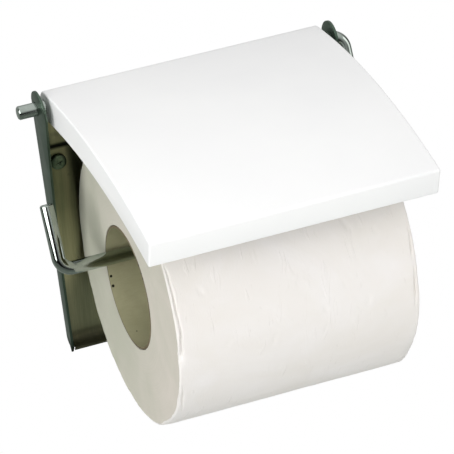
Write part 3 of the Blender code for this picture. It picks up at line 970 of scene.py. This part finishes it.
def build_core(board, rim_board):
    """A thin tube with a spiral lap seam inside and bevelled ends."""
    low, high = CORE_LOW.x, CORE_HIGH.x
    outer = (CORE_HIGH.z - CORE_LOW.z) / 2
    bm = bmesh.new()
    columns = []
    for i in range(CORE_SIDES):
        angle = 2 * math.pi * i / CORE_SIDES
        c, s = math.cos(angle), math.sin(angle)
        column = []
        for k in range(CORE_STEPS + 1):
            x = low + (high - low) * k / CORE_STEPS
            turn = ((x - low) / SEAM_PITCH + angle / (2 * math.pi)) % 1.0
            lap = SEAM_STEP * max(0.0, 1 - turn * SEAM_PITCH / SEAM_WIDTH)
            fuzz = CORE_FUZZ * wave(x * 300, c * 8, s * 8, 9)
            column.append((x, CORE_BORE + lap + fuzz + CORE_LINING))
        column += [(high, CORE_BORE + CORE_LIP), (high, outer - CORE_BEVEL),
                   (high - CORE_BEVEL, outer), (low + CORE_BEVEL, outer),
                   (low, outer - CORE_BEVEL), (low, CORE_BORE + CORE_LIP)]
        columns.append([spun(bm, x, radius, c, s) for x, radius in column])
    count = len(columns[0])
    for i, column in enumerate(columns):
        following = columns[(i + 1) % CORE_SIDES]
        for k in range(count):
            j = (k + 1) % count
            face = bm.faces.new((column[k], column[j], following[j], following[k]))
            face.material_index = 0 if k < CORE_STEPS else 1
    bmesh.ops.recalc_face_normals(bm, faces=bm.faces)
    core = finish_mesh("core_tube", bm, [board, rim_board], sharp=50)
    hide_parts("cardboard_core")
    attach(core, "roll")


# --- Stage --------------------------------------------------------------------------------------

def build_camera():
    data = bpy.data.cameras.new("camera")
    data.lens = CAMERA_LENS
    data.sensor_width = CAMERA_SENSOR
    data.clip_end = CAMERA_CLIP_END
    camera = bpy.data.objects.new("camera", data)
    level = math.cos(CAMERA_ELEVATION)
    toward = Vector((-level * math.sin(CAMERA_AZIMUTH), level * math.cos(CAMERA_AZIMUTH),
                     -math.sin(CAMERA_ELEVATION)))
    camera.location = CAMERA_TARGET - toward * CAMERA_DISTANCE
    look = toward.to_track_quat("-Z", "Y")
    camera.rotation_mode = "QUATERNION"
    camera.rotation_quaternion = look @ Matrix.Rotation(CAMERA_ROLL, 3, "Z").to_quaternion()
    bpy.context.scene.collection.objects.link(camera)
    bpy.context.scene.camera = camera


def area_light(name, location, size, power, reflected):
    data = bpy.data.lights.new(name, "AREA")
    data.shape = "RECTANGLE"
    data.size, data.size_y = size
    data.energy = power
    light = bpy.data.objects.new(name, data)
    light.location = location
    light.rotation_mode = "QUATERNION"
    aim = Vector(LIGHT_TARGET) - Vector(location)
    light.rotation_quaternion = aim.to_track_quat("-Z", "Y")
    light.visible_glossy = reflected
    bpy.context.scene.collection.objects.link(light)


def mixed(tree, factor, plain, seen):
    """Plain for light and reflections, the other for the camera's own view of the backdrop."""
    node = tree.nodes.new("ShaderNodeMixShader")
    for i, socket in enumerate((factor, plain, seen)):
        tree.links.new(socket, node.inputs[i])
    return node.outputs[0]


def build_floor():
    bm = bmesh.new()
    bmesh.ops.create_grid(bm, x_segments=1, y_segments=1, size=FLOOR_SIZE,
                          matrix=Matrix.Translation((0, 0, FLOOR_HEIGHT)))
    n = Nodes("floor")
    n.set(Base_Color=FLOOR, Roughness=0.9, Specular_IOR_Level=0.1)
    depth = n.split(n.position)[1]
    glow = n.remap(depth, 0.0, FLOOR_FADE, NEAR_FLOOR, FAR_FLOOR)
    n.set(Emission_Color=FLOOR_GLOW, Emission_Strength=glow)
    white = n.add("ShaderNodeEmission", {"Color": WHITE, "Strength": 1.0})
    seen = n.add("ShaderNodeLightPath").outputs["Is Camera Ray"]
    surface = mixed(n.tree, seen, n.shader.outputs[0], white.outputs[0])
    n.tree.links.new(surface, n.tree.nodes["Material Output"].inputs["Surface"])
    finish_mesh("floor", bm, [n.material])


def graded(tree, value, rise, out_low, out_high):
    """Fades smoothly from out_low to out_high while the value goes through the rise."""
    node = tree.nodes.new("ShaderNodeMapRange")
    node.interpolation_type = "SMOOTHSTEP"
    for key, number in (("From Min", rise[0]), ("From Max", rise[1]),
                        ("To Min", out_low), ("To Max", out_high)):
        node.inputs[key].default_value = number
    tree.links.new(value, node.inputs["Value"])
    return node.outputs["Result"]


def combined(tree, operation, first, second):
    node = tree.nodes.new("ShaderNodeMath")
    node.operation = operation
    tree.links.new(first, node.inputs[0])
    tree.links.new(second, node.inputs[1])
    return node.outputs[0]


def build_world():
    """A bright ceiling, a dark flag on the left and a pale backdrop, for the metal to reflect."""
    world = bpy.data.worlds.new("studio")
    world.use_nodes = True
    tree = world.node_tree
    direction = tree.nodes.new("ShaderNodeTexCoord")
    split = tree.nodes.new("ShaderNodeSeparateXYZ")
    tree.links.new(direction.outputs["Generated"], split.inputs[0])
    across, depth, up = split.outputs
    ceiling = graded(tree, up, CEILING_RISE, CEILING_DARK, CEILING)
    flag = graded(tree, across, FLAG_EDGE, FLAG_DARK, 1.0)
    unflagged = combined(tree, "MAXIMUM", flag, graded(tree, up, FLAG_TOP, 0.0, 1.0))
    front = combined(tree, "MULTIPLY", ceiling, unflagged)
    backdrop = graded(tree, depth, BACKDROP_RISE, 0.0, BACKDROP)
    light = tree.nodes["Background"]
    tree.links.new(combined(tree, "MAXIMUM", front, backdrop), light.inputs["Strength"])
    light.inputs["Color"].default_value = WHITE
    white = tree.nodes.new("ShaderNodeBackground")
    white.inputs["Color"].default_value = WHITE
    seen = tree.nodes.new("ShaderNodeLightPath").outputs["Is Camera Ray"]
    surface = mixed(tree, seen, light.outputs[0], white.outputs[0])
    tree.links.new(surface, tree.nodes["World Output"].inputs["Surface"])
    bpy.context.scene.world = world


def main():
    build_camera()
    build_plate(pressed_steel())
    screw_steel = plated_screw()
    build_screw("left", SCREW_X, 24, screw_steel)
    build_screw("right", -SCREW_X, -38, screw_steel)
    build_wire(chrome())
    build_lid(white_paint())
    build_roll(tissue(), tissue_edge())
    specks = [(core_point(x * MM, degrees, CORE_BORE), radius * MM)
              for x, degrees, radius in BORE_SPECKS]
    nicks = [(core_point(CORE_LOW.x, degrees, RIM_NICK_CIRCLE), RIM_NICK_RADIUS)
             for degrees in RIM_NICK_ANGLES]
    build_core(cardboard("grey_cardboard", BOARD, specks),
               cardboard("cardboard_rim", BOARD_RIM, nicks))
    build_floor()
    build_world()
    for light in AREA_LIGHTS:
        area_light(*light)
    bpy.context.scene.view_settings.view_transform = "Standard"


main()
